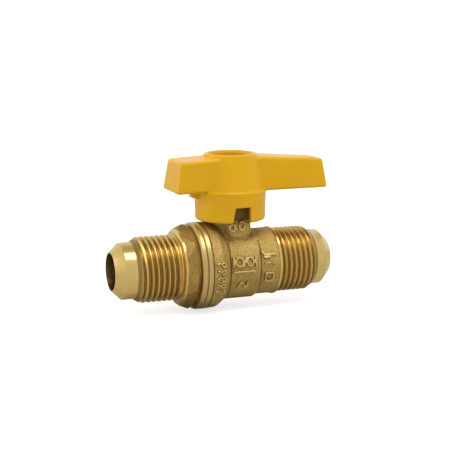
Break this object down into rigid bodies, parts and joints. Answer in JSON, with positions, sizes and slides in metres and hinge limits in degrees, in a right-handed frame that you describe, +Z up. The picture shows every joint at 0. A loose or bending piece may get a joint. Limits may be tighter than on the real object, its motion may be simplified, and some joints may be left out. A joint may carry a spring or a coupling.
{
  "type": "gas ball valve",
  "caption": "Brass quarter-turn gas valve with a male flare fitting at each end, a wrench hexagon and a yellow T-handle with a cup hub.",
  "frame": {"origin": "The centre of the ball, where the pipe's axis and the stem's axis cross.", "axes": "+X runs along the pipe from the adapter end to the outlet end, +Z runs up the stem to the handle, and -Y is the side of the stop lug that shows through the skirt's notch. The handle rests fully open, its long wing along +X."},
  "size_m": [0.066, 0.0252, 0.045],
  "materials": {
    "forged_brass": "forged brass, blasted to a fine grain, with machined rims, threads and flare",
    "machined_brass": "bright turned brass with fine lathe lines",
    "chromed_brass": "polished chrome plate on a brass ball",
    "plated_steel": "zinc plated steel, satin",
    "white_ptfe": "white PTFE, waxy",
    "nitrile_rubber": "black nitrile, greased",
    "yellow_paint": "golden yellow powder coat on a die-cast handle, semi-gloss"
  },
  "bodies": {
    "valve": {"valve_body": "forged_brass", "end_adapter": "machined_brass", "adapter_seal_ring": "nitrile_rubber", "inlet_seat": "white_ptfe", "outlet_seat": "white_ptfe", "thrust_washer": "white_ptfe"},
    "handle": {"handle": "yellow_paint", "stem": "machined_brass", "lower_stem_seal_ring": "nitrile_rubber", "upper_stem_seal_ring": "nitrile_rubber", "lock_washer": "plated_steel", "handle_nut": "plated_steel"},
    "ball": {"ball": "chromed_brass"}
  },
  "joints": [
    {"name": "handle_turn", "type": "hinge", "parent": "valve", "child": "handle", "pos_m": [0, 0, 0.02], "axis": [0, 0, 1], "range_deg": [0, 90]},
    {"name": "ball_turn", "type": "hinge", "parent": "valve", "child": "ball", "pos_m": [0, 0, 0], "axis": [0, 0, 1], "range_deg": [0, 90]}
  ],
  "couplings": [
    {"joint": "ball_turn", "follows": "handle_turn", "ratio": 1}
  ]
}
